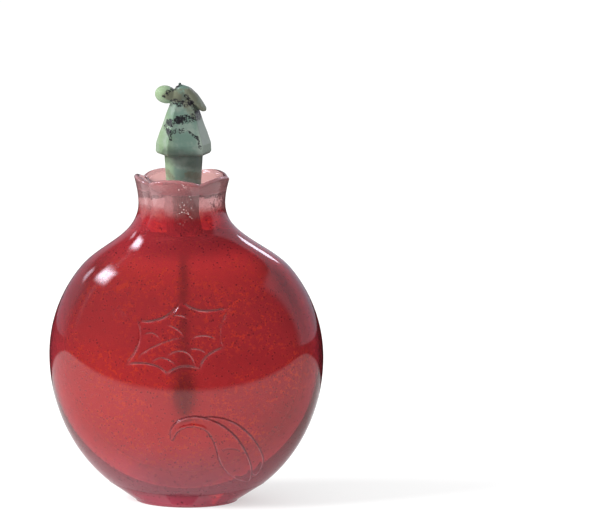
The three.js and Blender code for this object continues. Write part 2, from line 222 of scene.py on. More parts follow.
# Cork and spoon
CORK_TOP_RADIUS = 2.05
CORK_FOOT_RADIUS = 1.85
CORK_EDGE = 0.15
STEM_RADIUS = 0.7
STEM_FOOT_RADIUS = 0.63
STEM_OVERLAP = 0.8
SPOON_LENGTH = 8.6
SPOON_HALF_WIDTH = 1.95
SPOON_HALF_DEPTH = 0.75
SPOON_DISH = 1.125

# Levels between which the glass changes, from the foot up
SOLE_LEVELS = (1.0, 2.6)
FOOT_LEVELS = (1.4, 2.4)
# A band under the neck where the ruby is brighter, rising over the first levels and falling over the second
GLOW_START = (36, 43)
GLOW_END = (44, 48)
THROAT_LEVELS = (41, 46)
TOP_LEVELS = (50, 57)
MOUTH_LEVELS = (51, 54)
# Painted light: the ruby is brighter below this level, over this fade
LOW_GLOW_TOP = 30
LOW_GLOW_FADE = 26
# Painted light: more milky glow below this level, fading between these levels
LOW_HAZE_TOP = 17
LOW_HAZE_FADE = (2, 17)
LINE_FADE = 3.0
LINE_RAGGEDNESS = 5.0

# Pattern of the glass: two painted marks with their width, the share of a cell that a dot fills, and sizes
FLECK = ((-10.6, 38.9), (-9.1, 39.5), 0.8)
SPARKS = ((0.2, 55.4), (0.8, 51.2), 3.0)
# Painted light: how much brighter the ruby is towards the left, and the share of the low painted glow kept
# at the sole
LEFT_GAIN = 0.5
SOLE_SHARE = 0.35
FLAME_SIZE = 0.75
CLOUD_SIZE = 7
SPECK_SHARE = (0.15, 0.33)
# Colour of the fine dark specks, also of the painted shade at the leaves' edges and in the leaf's cut
SPECK_AND_SHADE_COLOUR = (0.03, 0.004, 0.008)
SPARK_SPACING = 0.42
SPARK_SHARE = (0.16, 0.32)
SPARK_COLOUR = (0.95, 0.86, 0.82)
# Share of the painted highlight along the lip's edge
RIM_HIGHLIGHT = 0.35
DUST_SIZE = 1.6
BODY_WAVE_SIZE = 7
BODY_WAVE_HEIGHT = 0.012
LIP_WAVE_SIZE = 1.6
POLISH_ROUGHNESS = 0.03

# Pattern of the stone, the cork and the bone, with places across where the stone's colour changes
# Painted light: the stone is lighter and yellower left of the first pair of places and greyer past the
# second pair
FRONT_FADE = (-3.2, 0.5)
FAR_FADE = (2.6, 3.8)
STONE_CLOUD = 2.2
PIT_SIZE = 0.45
PIT_DEPTH = 0.015
CRUMB_SIZE = 0.3
# Colour of the painted shadow under the bell
BELL_SHADOW_COLOUR = (0.03, 0.032, 0.025)
# Colour of the black veins and of the painted shade line under the hanging leaf
VEIN_AND_SHADE_COLOUR = (0.012, 0.01, 0.014)
PORE_COLOUR = (0.10, 0.07, 0.05)
PORE_SIZE = 0.6
PORE_DEPTH = 0.05
GRAIN_COLOUR = (0.32, 0.24, 0.15)
GRAIN_SIZE = 0.8
GRAIN_DEPTH = 0.006

# Photograph's view, the light on the left and the dark cloth's level, in metres and degrees
CAMERA_DISTANCE = 0.8
CAMERA_AZIMUTH = 5.0
CAMERA_ELEVATION = 9.5
CAMERA_LENS = 280
VIEW_RIGHT = 0.019256
VIEW_HEIGHT = 0.041254
KEY_DIRECTION = (-0.81, -0.3, 0.55)
KEY_DISTANCE = 0.6
KEY_SIZE = 0.3
CLOTH_Z = 0.0003

# What the glass mirrors: direction round from the front and up, half sizes, softness, brightness
SOFTBOXES = [
    (-80, 38, 8.0, 4.8, 0.6, 24.0),
    (-80, 38, 2.5, 26.0, 0.5, 0.45),
    (157, 32, 5.5, 4.0, 0.2, 8.0),
    (-111, 29, 4.0, 4.0, 0.5, 5.0),
    (132, 23, 47.0, 26.0, 0.1, 0.8),
    (-130, 12, 32.0, 16.0, 0.3, 0.5),
]
GLOSS_COLOUR = (0.85, 0.84, 1.0)
BLACK = (0, 0, 0)

# Middle of the white table across, in millimetres, and where it ends as a share of its size
TABLE_X = 20.0
TABLE_EDGE = (0.93, 1.12)


def smoothstep(value, low, high):
    """0 below low, 1 above high, and an even turn between them."""
    share = np.clip((value - low) / (high - low), 0, 1)
    return share * share * (3 - 2 * share)


# Glass vessel

def body_reach(z):
    """Height of the half ellipse that a level lies in."""
    return np.where(z < MIDDLE_Z, DROP, RISE)


def body_size(z):
    """Half width and half depth of the body at a level."""
    share = np.sqrt(np.clip(1 - ((z - MIDDLE_Z) / body_reach(z)) ** 2, 0, 1))
    return HALF_WIDTH * share, HALF_DEPTH * share


def crease_z(angle):
    """Level of the crease between foot and body, lowest in front and behind."""
    return CREASE_FRONT_Z + (CREASE_SIDE_Z - CREASE_FRONT_Z) * np.cos(angle) ** 2


def lean(z):
    """How far the neck leans to its side at a level."""
    return NECK_LEAN * smoothstep(z, SHOULDER_Z, LEAN_END_Z)


def petal(angle):
    """1 in the middle of a petal and 0 in the groove between two."""
    turns = (angle + math.pi / 2 - PETAL_TURN) / (2 * math.pi) * PETALS
    across = 2 * (turns - np.floor(turns)) - 1
    return 1 - across ** 2


def grooved(size, z, angle):
    """A neck radius, cut in at the grooves that run down between the petals."""
    groove = GROOVE_DEPTH * (1 - petal(angle)) ** GROOVE_POWER
    return size - groove * smoothstep(z, GROOVE_START_Z, NECK_Z)


def bezier(points, t):
    """A point on a cubic Bezier curve."""
    a, b, c, d = points
    return a * (1 - t) ** 3 + 3 * b * t * (1 - t) ** 2 + 3 * c * t ** 2 * (1 - t) + d * t ** 3


def underside(t, angle):
    half_width, half_depth, z = UNDERSIDE[round(t * (len(UNDERSIDE) - 1))]
    return half_width, half_depth, z, 0


def foot(t, angle):
    top_z = crease_z(angle)
    top_width, top_depth = body_size(top_z)
    half_width, half_depth, z = UNDERSIDE[-1]
    return (
        half_width + (top_width + CREASE_LEDGE - half_width) * t,
        half_depth + (top_depth + CREASE_LEDGE - half_depth) * t,
        z + (top_z - z) * t,
        0,
    )


def body(t, angle):
    low = -np.arcsin((MIDDLE_Z - crease_z(angle)) / DROP)
    high = math.asin((SHOULDER_Z - MIDDLE_Z) / RISE)
    turn = low + (high - low) * t
    z = MIDDLE_Z + np.sin(turn) * np.where(turn < 0, DROP, RISE)
    return *body_size(z), z, 0


def shoulder(t, angle):
    sizes = []
    start_sizes = body_size(SHOULDER_Z)
    below_sizes = body_size(SHOULDER_Z - SLOPE_STEP)
    for start, below in zip(start_sizes, below_sizes):
        slope = np.array([start - below, SLOPE_STEP])
        pull = slope / np.linalg.norm(slope) * SHOULDER_PULL
        sizes.append(bezier((start, start + pull[0], NECK_RADIUS, NECK_RADIUS), t))
    width_slope = start_sizes[0] - below_sizes[0]
    rise = SHOULDER_PULL * SLOPE_STEP / math.hypot(width_slope, SLOPE_STEP)
    z = bezier((SHOULDER_Z, SHOULDER_Z + rise, NECK_Z - NECK_PULL, NECK_Z), t)
    return grooved(sizes[0], z, angle), grooved(sizes[1], z, angle), z, lean(z)


def lip(t, angle):
    z = NECK_Z + (LIP_Z - LIP_THICKNESS / 2 - NECK_Z) * t + PETAL_RISE * petal(angle) * t ** 2
    size = grooved(NECK_RADIUS + LIP_FLARE * t ** 2, z, angle)
    return size, size, z, NECK_LEAN


def rim(t, angle):
    size, _, z, shift = lip(1, angle)
    half = LIP_THICKNESS / 2
    size = size - half * (1 - math.cos(math.pi * t))
    return size, size, z + half * math.sin(math.pi * t), shift


def funnel(t, angle):
    size, _, z, shift = rim(1, angle)
    size = size + (SEAT_RADIUS - size) * t
    return size, size, z + (SEAT_Z - z) * t ** FUNNEL_BOW, shift + (BORE_X - shift) * t


def seat(t, angle):
    size = SEAT_RADIUS + (BORE_RADIUS - SEAT_RADIUS) * t
    return size, size, SEAT_Z, BORE_X


def bore(t, angle):
    return BORE_RADIUS, BORE_RADIUS, SEAT_Z + (BORE_END_Z - SEAT_Z) * t, BORE_X


def hollow(t, angle):
    mouth = math.acos(BORE_RADIUS / HOLLOW_HALF_WIDTH)
    turn = mouth - (mouth + math.pi / 2) * t
    reach = HOLLOW_TOP_Z - MIDDLE_Z if turn > 0 else MIDDLE_Z - HOLLOW_FLOOR_Z
    near_bore = max(0, 1 - MOUTH_BLEND * t)
    half_depth = HOLLOW_HALF_DEPTH * math.cos(turn)
    half_depth += (BORE_RADIUS - HOLLOW_HALF_DEPTH * math.cos(mouth)) * near_bore
    shift = HOLLOW_SHIFT + (BORE_X - HOLLOW_SHIFT) * near_bore
    return HOLLOW_HALF_WIDTH * math.cos(turn), half_depth, MIDDLE_Z + reach * math.sin(turn), shift


# Rows of faces in each zone, from the foot's edge to the hollow's floor
ROWS = {foot: 6, body: 72, shoulder: 22, lip: 14, rim: 8, funnel: 8, seat: 3, bore: 8, hollow: 44}
INSIDE_ZONES = (funnel, seat, bore, hollow)


def vessel_rows():
    """Each row's zone and its share of the way along it. The body also has a row on the foot's ledge."""
    rows = [(underside, step / (len(UNDERSIDE) - 1)) for step in range(len(UNDERSIDE))]
    for zone, count in ROWS.items():
        first = 0 if zone is body else 1
        rows += [(zone, step / count) for step in range(first, count + 1)]
    return rows


def curve_points(start, middle, end, steps=16):
    """An arc from start to end through a point between them."""
    start, middle, end = (np.array(point) for point in (start, middle, end))
    control = 2 * middle - (start + end) / 2
    t = np.linspace(0, 1, steps)[:, None]
    return start * (1 - t) ** 2 + 2 * control * t * (1 - t) + end * t ** 2


def star_lines():
    """The arcs of the burst skin, which sag towards its middle."""
    lines = []
    for index, tip in enumerate(STAR_TIPS):
        tip, following = np.array(tip), np.array(STAR_TIPS[(index + 1) % len(STAR_TIPS)])
        middle = (tip + following) / 2
        inward = np.array(STAR_MIDDLE) - middle
        sag = STAR_SAG * np.linalg.norm(following - tip)
        lines.append(curve_points(tip, middle + inward / np.linalg.norm(inward) * sag, following))
    return lines


def rounded(points, steps=6):
    """A smooth closed outline through a few points."""
    points = np.array(points)
    before, after, beyond = np.roll(points, 1, 0), np.roll(points, -1, 0), np.roll(points, -2, 0)
    outline = []
    for index in range(len(points)):
        for t in np.linspace(0, 1, steps, endpoint=False):
            a, b, c, d = before[index], points[index], after[index], beyond[index]
            outline.append(
                b + 0.5 * t * (c - a + t * (2 * a - 5 * b + 4 * c - d + t * (3 * (b - c) + d - a)))
            )
    return np.array(outline)


def line_distance(places, line):
    """Distance of each place from a line of points, and how far along the line that is, from 0 to 1."""
    start, step = line[:-1], np.diff(line, axis=0)
    away = places[:, None] - start[None]
    along = np.clip((away * step).sum(2) / (step ** 2).sum(1), 0, 1)
    gaps = np.linalg.norm(away - along[..., None] * step, axis=2)
    nearest = gaps.argmin(1)
    row = np.arange(len(places))
    return gaps[row, nearest], (nearest + along[row, nearest]) / len(step)


def inside_distance(places, outline):
    """Distance of each place from an outline, above 0 inside it."""
    closed = np.vstack([outline, outline[:1]])
    gap, _ = line_distance(places, closed)
    start, end = closed[:-1], closed[1:]
    x, z = places[:, :1], places[:, 1:]
    crosses = (start[:, 1] > z) != (end[:, 1] > z)
    rise = np.where(end[:, 1] == start[:, 1], 1, end[:, 1] - start[:, 1])
    at = start[:, 0] + (z - start[:, 1]) * (end[:, 0] - start[:, 0]) / rise
    inside = (crosses & (x < at)).sum(1) % 2 == 1
    return np.where(inside, gap, -gap)


def carved_lines():
    """Every line on the front: its points, its width and its depth."""
    lines = [(line, STAR_LINE, STAR_DEPTH) for line in star_lines()]
    lines += [(curve_points(*arc), SEED_LINE, SEED_DEPTH) for arc in SEED_ARCS]
    lines += [(curve_points(*arc), SCRATCH_LINE, SCRATCH_DEPTH) for arc in SCRATCHES]
    lines.append((curve_points(*LEAF_CUT), CUT_LINE, CUT_DEPTH))
    return lines


def carving(places):
    """Height of the carved front over the smooth body at each place, how pale it is, and how dark with
    painted shade.
    """
    height, pale, dark = np.zeros((3, len(places)))
    for line, width, depth in carved_lines():
        gap, along = line_distance(places, line)
        taper = smoothstep(np.minimum(along, 1 - along), *LINE_ENDS)
        cut = taper * (1 - smoothstep(gap / width, *LINE_FLANKS))
        height = np.minimum(height, -depth * cut)
        pale = np.maximum(pale, taper * (1 - smoothstep(gap, 0, LEAF_LINE)) * min(1, depth / SEED_DEPTH))
    for outline, rise in ((BACK_LEAF, BACK_LEAF_RISE), (FRONT_LEAF, LEAF_RISE)):
        depth_in = inside_distance(places, rounded(outline))
        step = smoothstep(depth_in, -LEAF_EDGE / 2, LEAF_EDGE / 2)
        dish = LEAF_DISH * smoothstep(depth_in, LEAF_EDGE, 5 * LEAF_EDGE)
        height = np.where(step > 0, height * (1 - step) + (rise - dish) * step, height)
        line = 1 - smoothstep(np.abs(depth_in - LEAF_LINE), 0, LEAF_LINE)
        # Painted shade just outside each leaf's raised edge
        shade = 1 - smoothstep(np.abs(depth_in + LEAF_LINE / 2), LEAF_LINE / 2, 2 * LEAF_LINE)
        pale = np.maximum(pale * (1 - step), LEAF_PALENESS * line)
        dark = np.maximum(dark * (1 - step), shade)
    # Painted shade along the leaf's cut
    gap, _ = line_distance(places, curve_points(*LEAF_CUT))
    dark = np.maximum(dark, 1 - smoothstep(gap, 0, LEAF_LINE))
    return height - CUT_DEPTH * (1 - smoothstep(gap, 0, CUT_LINE)), pale, dark


def carving_reach(places):
    """Distance of each place from the nearest carved line or leaf edge."""
    lines = [line for line, _, _ in carved_lines()]
    lines += [np.vstack([outline, outline[:1]]) for outline in (rounded(FRONT_LEAF), rounded(BACK_LEAF))]
    return np.min([line_distance(places, line)[0] for line in lines], axis=0)


def on_front(points):
    """Which points lie on the front of the smooth body, where the carving is."""
    x, y, z = points.T
    shell = (x / HALF_WIDTH) ** 2 + (y / HALF_DEPTH) ** 2 + ((z - MIDDLE_Z) / body_reach(z)) ** 2
    between = (z > CREASE_SIDE_Z + FRONT_MARGIN) & (z < SHOULDER_Z - FRONT_MARGIN)
    return (y < FRONT_Y) & (shell > FRONT_SHELL) & between


def read(items, name, width):
    """A row of numbers for each item of a mesh."""
    values = np.empty(len(items) * width)
    items.foreach_get(name, values)
    return values.reshape(-1, width)


def set_points(mesh, points):
    mesh.vertices.foreach_set("co", np.ascontiguousarray(points, dtype=np.float32).ravel())
    mesh.update()


def store(mesh, name, values):
    """Keeps a number for each point of a mesh, for its finish to read."""
    attribute = mesh.attributes.new(name, "FLOAT", "POINT")
    attribute.data.foreach_set("value", np.asarray(values, dtype=np.float32))


def deselect_all():
    if bpy.context.object and bpy.context.object.mode != "OBJECT":
        bpy.ops.object.mode_set(mode="OBJECT")
    bpy.ops.object.select_all(action="DESELECT")


def only(piece):
    """Selects one object alone and makes it the active one."""
    deselect_all()
    piece.select_set(True)
    bpy.context.view_layer.objects.active = piece


@contextmanager
def editing(piece):
    """Holds one piece in edit mode."""
    only(piece)
    bpy.ops.object.mode_set(mode="EDIT")
    yield
    bpy.ops.object.mode_set(mode="OBJECT")


def spin_profile(name, rows):
    """Draws the profile as a line of points that know their row, and spins it into a closed skin."""
    profile = []
    for zone, t in rows:
        half_width, _, z, _ = zone(t, np.zeros(1))
        profile.append((float(np.max(half_width)), 0, float(np.max(z))))
    mesh = bpy.data.meshes.new(name)
    mesh.from_pydata(profile, [(index, index + 1) for index in range(len(profile) - 1)], [])
    store(mesh, "row", np.arange(len(rows)))
    piece = bpy.data.objects.new(name, mesh)
    bpy.context.scene.collection.objects.link(piece)
    with editing(piece):
        bpy.ops.mesh.select_all(action="SELECT")
        bpy.ops.mesh.spin(steps=COLUMNS, angle=2 * math.pi, axis=(0, 0, 1))
        bpy.ops.mesh.select_all(action="SELECT")
        bpy.ops.mesh.remove_doubles(threshold=WELD)
        bpy.ops.mesh.normals_make_consistent()
    return piece


def shape_rows(piece, rows):
    """Moves the points of the spun skin to their places on the oval, petalled vessel."""
    mesh = piece.data
    points = read(mesh.vertices, "co", 3)
    row_of = np.rint(read(mesh.attributes["row"].data, "value", 1)[:, 0]).astype(int)
    angle = np.arctan2(points[:, 1], points[:, 0])
    for index, (zone, t) in enumerate(rows):
        at = row_of == index
        half_width, half_depth, z, shift = zone(t, angle[at])
        points[at, 0] = shift + half_width * np.cos(angle[at])
        points[at, 1] = half_depth * np.sin(angle[at])
        points[at, 2] = z
    set_points(mesh, points)
    return row_of


def refine_front(piece):
    """Splits the faces round the carved lines twice, so that the cuts have points of their own."""
    mesh = piece.data
    bpy.context.tool_settings.mesh_select_mode = (False, False, True)
    for reach, cuts in ((COARSE_REACH, 1), (FINE_REACH, 2)):
        centres = read(mesh.polygons, "center", 3)
        front = on_front(centres)
        near = np.zeros(len(centres), dtype=bool)
        near[front] = carving_reach(centres[front][:, [0, 2]]) < reach
        for items in (mesh.vertices, mesh.edges):
            items.foreach_set("select", [False] * len(items))
        mesh.polygons.foreach_set("select", near)
        with editing(piece):
            bpy.ops.mesh.subdivide(number_cuts=cuts, quadcorner="INNERVERT")


def carve_front(piece):
    """Puts the front's points back on the smooth body, then lowers or raises them by the carving."""
    mesh = piece.data
    points = read(mesh.vertices, "co", 3)
    front = on_front(points)
    x, _, z = points[front].T
    reach = body_reach(z)
    y = -HALF_DEPTH * np.sqrt(1 - (x / HALF_WIDTH) ** 2 - ((z - MIDDLE_Z) / reach) ** 2)
    normal = np.stack([x / HALF_WIDTH ** 2, y / HALF_DEPTH ** 2, (z - MIDDLE_Z) / reach ** 2], axis=1)
    normal /= np.linalg.norm(normal, axis=1)[:, None]
    height, pale, dark = carving(np.stack([x, z], axis=1))
    for name, tone in (("pale", pale), ("dark", dark)):
        tones = np.zeros(len(points))
        tones[front] = tone
        store(mesh, name, tones)
    points[front] = np.stack([x, y, z], axis=1) + normal * height[:, None]
    set_points(mesh, points)


def apply_modifier(piece, kind, **settings):
    only(piece)
    modifier = piece.modifiers.new(kind.lower(), kind)
    for name, value in settings.items():
        setattr(modifier, name, value)
    bpy.ops.object.modifier_apply(modifier=modifier.name)


def complete(piece, degrees, material):
    """Makes a shape metres, smooths its edges below an angle and gives it its material."""
    piece.data.transform(Matrix.Scale(MM, 4))
    piece.data.update()
    only(piece)
    bpy.ops.object.shade_smooth_by_angle(angle=math.radians(degrees))
    piece.data.materials.clear()
    piece.data.materials.append(material)
    return piece


def make_vessel(settings):
    """The glass vessel, with its polished outside and the ground wall of its bore and hollow."""
    rows = vessel_rows()
    piece = spin_profile("ruby_glass_vessel", rows)
    row_of = shape_rows(piece, rows)
    mesh = piece.data
    # Rows inside, rows ground dull, and the lip's edge that gets a painted highlight
    for name, zones in (("inside", INSIDE_ZONES), ("ground", (underside, *INSIDE_ZONES)), ("painted_rim_highlight", (rim,))):
        in_zone = np.array([zone in zones for zone, _ in rows])
        store(mesh, name, in_zone[row_of])
    mesh.attributes.remove(mesh.attributes["row"])
    refine_front(piece)
    carve_front(piece)
    return complete(piece, 40, ruby_glass(settings))


# Stopper

def add_ball(place, size, tilt=0):
    bpy.ops.mesh.primitive_uv_sphere_add(segments=48, ring_count=32, radius=1)
    ball = bpy.context.object
    turn = Matrix.Rotation(tilt, 3, "Y").to_quaternion()
    ball.data.transform(Matrix.LocRotScale(Vector(place), turn, Vector(size)))
    return ball


def add_rod(sides, foot_radius, top_radius, low_z, high_z, x=0.0):
    """A round rod between two levels, with a radius at each."""
    deselect_all()
    bpy.ops.mesh.primitive_cone_add(
        vertices=sides, radius1=foot_radius, radius2=top_radius, depth=high_z - low_z,
        location=(x, 0, (low_z + high_z) / 2),
    )
    bpy.ops.object.transform_apply()
    return bpy.context.object


def add_bell():
    """A six-sided plate that is drawn up level by level, as the stone was cut."""
    first_z, first_radius = BELL_LEVELS[0]
    bpy.ops.mesh.primitive_circle_add(vertices=len(BELL_CORNERS), radius=first_radius, fill_type="NGON")
    bell = bpy.context.object
    for corner, degrees in zip(bell.data.vertices, BELL_CORNERS):
        angle = math.radians(degrees)
        corner.co = (first_radius * math.cos(angle), first_radius * math.sin(angle), first_z)
    with editing(bell):
        bpy.ops.mesh.select_all(action="SELECT")
        for (z, radius), (next_z, next_radius) in zip(BELL_LEVELS, BELL_LEVELS[1:]):
            bpy.ops.mesh.extrude_region_move(TRANSFORM_OT_translate={"value": (0, 0, next_z - z)})
            share = next_radius / radius
            bpy.ops.transform.resize(value=(share, share, 1), center_override=(0, 0, next_z))
        bpy.ops.mesh.select_all(action="SELECT")
        bpy.ops.mesh.normals_make_consistent()
    return bell


def add_hanging_leaf():
    """A ball drawn out along the leaf's spine, which hangs over the bell."""
    ball = add_ball((0, 0, 0), (1, 1, 1))
    along, across, out = read(ball.data.vertices, "co", 3).T
    levels = np.array(HANGING_LEAF)
    stations = np.linspace(-1, 1, len(levels))
    x, z, half_width, half_thickness = (np.interp(along, stations, column) for column in levels.T)
    slope_x, slope_z = (np.interp(along, stations, np.gradient(levels[:, column])) for column in (0, 1))
    ring = np.sqrt(np.clip(1 - along ** 2, 1e-6, 1))
    taper = np.clip(ring * LEAF_BLUNTNESS, 0, 1)
    thickness = half_thickness * out / ring * taper / np.hypot(slope_x, slope_z)
    y = half_width * across / ring * taper
    set_points(ball.data, np.stack([x - slope_z * thickness, y, z + slope_x * thickness], axis=1))
    return ball


def fuse(parts, name):
    """Joins parts that overlap and gives them one skin."""
    deselect_all()
    for part in parts:
        part.select_set(True)
    bpy.context.view_layer.objects.active = parts[0]
    bpy.ops.object.join()
    piece = bpy.context.object
    piece.name = piece.data.name = name
    piece.data.remesh_voxel_size = STONE_GRAIN
    bpy.ops.object.voxel_remesh()
    return piece


def make_stopper(settings):
    """The turquoise stopper: its parts are joined into one stone and smoothed as a polisher would."""
    parts = [
        add_rod(24, *STALK_TIP),
        add_rod(96, SHANK_FOOT_RADIUS, SHANK_TOP_RADIUS, SEAT_Z, SHANK_TOP_Z),
        add_bell(),
        add_hanging_leaf(),
        add_ball(**BUD),
        add_ball(**BUD_NECK),
    ]
    piece = fuse(parts, "turquoise_stopper")
    apply_modifier(piece, "SMOOTH", factor=0.5, iterations=3)
    piece.data.transform(Matrix.Translation((BORE_X, 0, 0)))
    return complete(piece, 60, turquoise(settings))


# Cork and spoon

def make_cork(settings):
    """The cork, a little rounded at its edges."""
    piece = add_rod(64, CORK_FOOT_RADIUS, CORK_TOP_RADIUS, CORK_LOW[2], CORK_HIGH[2], BORE_X)
    piece.name = piece.data.name = "cork_plug"
    apply_modifier(piece, "BEVEL", width=CORK_EDGE, segments=3)
    return complete(piece, 40, cork_bark(settings))


def make_spoon(settings):
    """A slim stem with a small hollowed bowl."""
    deselect_all()
    half_length = SPOON_LENGTH / 2
    bowl_z = SPOON_LOW[2] + half_length
    bowl = add_ball((BORE_X, 0, bowl_z), (SPOON_HALF_WIDTH, SPOON_HALF_DEPTH, half_length))
    points = read(bowl.data.vertices, "co", 3)
    across = (points[:, 0] - BORE_X) / SPOON_HALF_WIDTH
    along = (points[:, 2] - bowl_z) / half_length
    inward = np.clip(1 - across ** 2 - along ** 2, 0, 1)
    front = points[:, 1] < 0
    points[front, 1] += SPOON_DISH * inward[front]
    set_points(bowl.data, points)
    stem_foot = SPOON_LOW[2] + SPOON_LENGTH - STEM_OVERLAP
    stem = add_rod(32, STEM_FOOT_RADIUS, STEM_RADIUS, stem_foot, SPOON_HIGH[2], BORE_X)
    return complete(fuse([stem, bowl], "bone_spoon"), 60, bone(settings))


# Finishes

class Wire:
    """An output of a shader node that can be reckoned with like a number."""

    def __init__(self, nodes, socket):
        self.nodes = nodes
        self.socket = socket

    def __add__(self, other):
        return self.nodes.reckon("ADD", self, other)

    def __sub__(self, other):
        return self.nodes.reckon("SUBTRACT", self, other)

    def __rsub__(self, other):
        return self.nodes.reckon("SUBTRACT", other, self)

    def __mul__(self, other):
        return self.nodes.reckon("MULTIPLY", self, other)

    def __truediv__(self, other):
        return self.nodes.reckon("DIVIDE", self, other)

    __radd__ = __add__
    __rmul__ = __mul__


class Nodes:
    """A tree of shader nodes."""

    def __init__(self, tree):
        self.tree = tree

    def plug(self, socket, value):
        if isinstance(value, Wire):
            self.tree.links.new(value.socket, socket)
        elif socket.type == "RGBA":
            socket.default_value = (*value, 1)
        else:
            socket.default_value = value

    def node(self, kind, settings, sockets, output=0):
        """Adds a node: its settings first, then the values or wires of its sockets, by number or name."""
        node = self.tree.nodes.new(kind)
        for name, value in settings.items():
            setattr(node, name, value)
        for key, value in sockets.items():
            self.plug(node.inputs[key], value)
        return Wire(self, node.outputs[output])

    def reckon(self, operation, *values):
        return self.node("ShaderNodeMath", {"operation": operation}, dict(enumerate(values)))

    def blend(self, share, first, second):
        """Shows the second shader instead of the first in a share of what is seen."""
        return self.node("ShaderNodeMixShader", {}, {0: share, 1: first, 2: second})


class Finish(Nodes):
    """A material and the nodes that make its pattern."""

    def __init__(self, name):
        self.material = bpy.data.materials.new(name)
        self.material.use_nodes = True
        super().__init__(self.material.node_tree)
        self.shader = self.tree.nodes["Principled BSDF"]
        self.output = self.tree.nodes["Material Output"]
        self.place = self.node("ShaderNodeTexCoord", {}, {}, output="Object")
        self.x, self.y, self.z = (
            self.node("ShaderNodeSeparateXYZ", {}, {0: self.place}, output=axis) / MM for axis in range(3)
        )

    def noise(self, size, detail=2.0, roughness=0.5):
        """Soft noise whose blots are about size millimetres across."""
        sockets = {"Vector": self.place, "Scale": 1 / (size * MM), "Detail": detail, "Roughness": roughness}
        return self.node("ShaderNodeTexNoise", {}, sockets)

    def cells(self, size):
        """Distance from the middle of cells that are about size millimetres across."""
        return self.node("ShaderNodeTexVoronoi", {}, {"Vector": self.place, "Scale": 1 / (size * MM)})

    def between(self, value, low, high):
        """0 below low and 1 above high."""
        smooth = {"interpolation_type": "SMOOTHSTEP"}
        return self.node("ShaderNodeMapRange", smooth, {0: value, 1: low, 2: high})

    def mix(self, share, first, second):
        """A colour between first and second, from a Mix node's sockets for colours."""
        return self.node("ShaderNodeMix", {"data_type": "RGBA"}, {0: share, 6: first, 7: second}, output=2)

    def coat(self, colour, *coats):
        """A colour with coats over it, each the share of the surface that it covers and its colour."""
        for share, tint in coats:
            colour = self.mix(share, colour, tint)
        return colour

    def dot(self, first, second):
        return self.node(
            "ShaderNodeVectorMath", {"operation": "DOT_PRODUCT"}, {0: first, 1: second}, output="Value"
        )

    def attribute(self, name):
        return self.node("ShaderNodeAttribute", {"attribute_name": name}, {}, output="Fac")

    def window(self, toward, azimuth, elevation, half_width, half_height, soft):
        """1 in a softbox that is seen in some direction, in degrees, and 0 outside it."""
        turn, lift = math.radians(azimuth), math.radians(elevation)
        middle = (math.sin(turn) * math.cos(lift), -math.cos(turn) * math.cos(lift), math.sin(lift))
        across = (math.cos(turn), math.sin(turn), 0)
        up = tuple(np.cross(middle, across))
        share = self.between(self.dot(toward, middle), 0, 0.1)
        for axis, half in ((across, half_width), (up, half_height)):
            reach = math.sin(math.radians(half))
            away = self.reckon("ABSOLUTE", self.dot(toward, axis))
            share = share * (1 - self.between(away, reach * (1 - soft), reach * (1 + soft)))
        return share

    def stroke(self, first, last, width, wobble=0.0):
        """1 along a painted stroke between two places in the front view, and 0 off it."""
        across, up = last[0] - first[0], last[1] - first[1]
        x, z = self.x - first[0] + wobble, self.z - first[1] - wobble
        along = (x * across + z * up) / (across * across + up * up)
        along = self.reckon("MINIMUM", self.reckon("MAXIMUM", along, 0), 1)
        x, z = x - along * across, z - along * up
        away = self.reckon("SQRT", x * x + z * z)
        return 1 - self.between(away, width * 0.3, width * 0.7)

    def set(self, sockets):
        for name, value in sockets.items():
            self.plug(self.shader.inputs[name], value)

    def bump(self, height):
        """Raises the surface by a height in millimetres."""
        self.set({"Normal": self.node("ShaderNodeBump", {}, {"Distance": MM, "Height": height})})


def glass_tint(finish, settings, clear):
    """Clear pink at the lip and ruby in the body. Painted light makes the ruby brighter low down and on the
    left, it is also brighter in a band under the neck, and painted shade makes it darker purple at its rim.
    """
    # Painted light low down and on the left, and a brighter band under the neck
    low = finish.between(LOW_GLOW_TOP - finish.z - finish.x * LEFT_GAIN, 0, LOW_GLOW_FADE)
    low = low + finish.between(finish.z, *GLOW_START) - finish.between(finish.z, *GLOW_END)
    flame = finish.between(finish.noise(FLAME_SIZE, detail=4, roughness=0.7), 0.5, 0.62)
    flame = flame * finish.between(finish.noise(CLOUD_SIZE, detail=2), 0.35, 0.6) + finish.stroke(*FLECK)
    facing = finish.node("ShaderNodeLayerWeight", {}, {}, output="Facing")
    return finish.coat(
        settings.deep_colour,
        (low, settings.painted_glow_colour),
        (flame * settings.flame_strength, settings.flame_colour),
        # Painted shade: darker purple where the glass is seen edge on
        (finish.between(facing, 0.2, 1.0), settings.edge_shade_colour),
        (clear, settings.clear_colour),
    )


